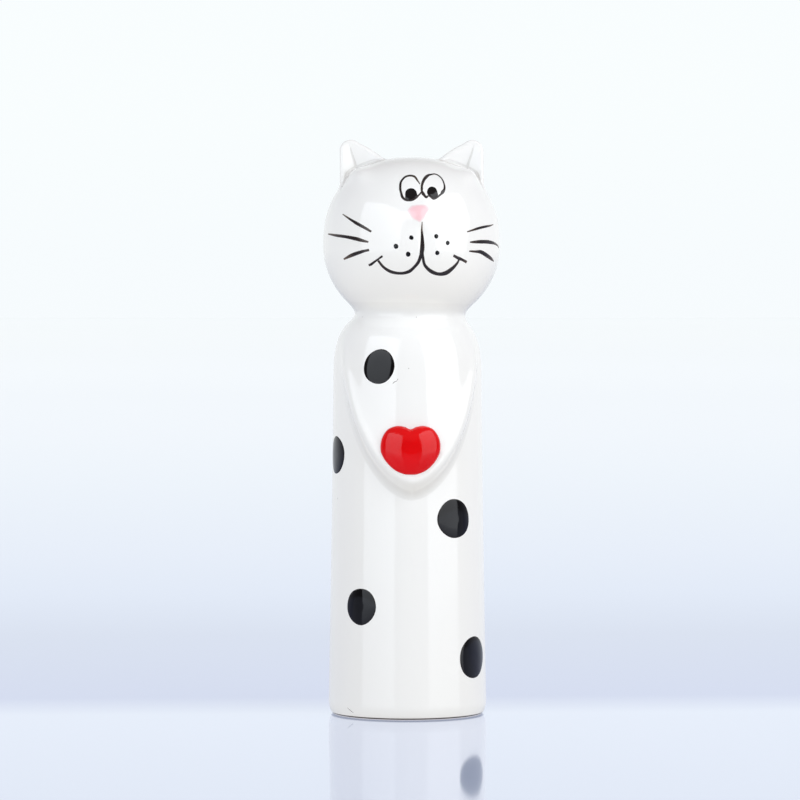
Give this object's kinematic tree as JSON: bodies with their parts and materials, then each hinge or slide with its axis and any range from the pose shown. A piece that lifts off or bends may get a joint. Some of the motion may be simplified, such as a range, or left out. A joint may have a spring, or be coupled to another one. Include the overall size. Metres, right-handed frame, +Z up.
{
  "type": "ceramic cat figurine",
  "caption": "Free-standing hollow glazed ceramic cat: column body with a foot ring, round head with ears, arms in relief holding a heart, black spots and a painted face.",
  "frame": {"origin": "on the surface it stands on, under the middle of the whole figurine's box", "axes": "+Z up along the column, -Y out of the cat's face, +X to the right of someone facing the cat"},
  "size_m": [0.0524, 0.0546, 0.17],
  "materials": {
    "white_glaze": "clear glossy glaze over white slip-cast earthenware",
    "black_enamel": "glossy black painted under or in the glaze, fired on",
    "red_enamel": "glossy red, fired on",
    "pink_enamel": "soft pink, fired on, under the same clear glaze"
  },
  "bodies": {
    "root": {"body_shell": "white_glaze", "head_shell": "white_glaze", "ear_left": "white_glaze", "ear_right": "white_glaze", "arm_left": "white_glaze", "arm_right": "white_glaze", "eye_white_left": "white_glaze", "eye_white_right": "white_glaze", "heart": "red_enamel", "nose": "pink_enamel", "spot_chest": "black_enamel", "spot_left_side": "black_enamel", "spot_right_waist": "black_enamel", "spot_left_hip": "black_enamel", "spot_right_foot": "black_enamel", "spot_back_shoulder": "black_enamel", "spot_back_left": "black_enamel", "spot_back_waist": "black_enamel", "spot_back_right": "black_enamel", "spot_back_foot": "black_enamel", "eye_line_left": "black_enamel", "eye_line_right": "black_enamel", "pupil_left": "black_enamel", "pupil_right": "black_enamel", "whisker_dot_1": "black_enamel", "whisker_dot_2": "black_enamel", "whisker_dot_3": "black_enamel", "whisker_dot_4": "black_enamel", "whisker_dot_5": "black_enamel", "whisker_dot_6": "black_enamel", "philtrum": "black_enamel", "smile_left": "black_enamel", "smile_right": "black_enamel", "cheek_left": "black_enamel", "cheek_right": "black_enamel", "whisker_left_1": "black_enamel", "whisker_left_2": "black_enamel", "whisker_left_3": "black_enamel", "whisker_right_1": "black_enamel", "whisker_right_2": "black_enamel", "whisker_right_3": "black_enamel"}
  },
  "joints": []
}
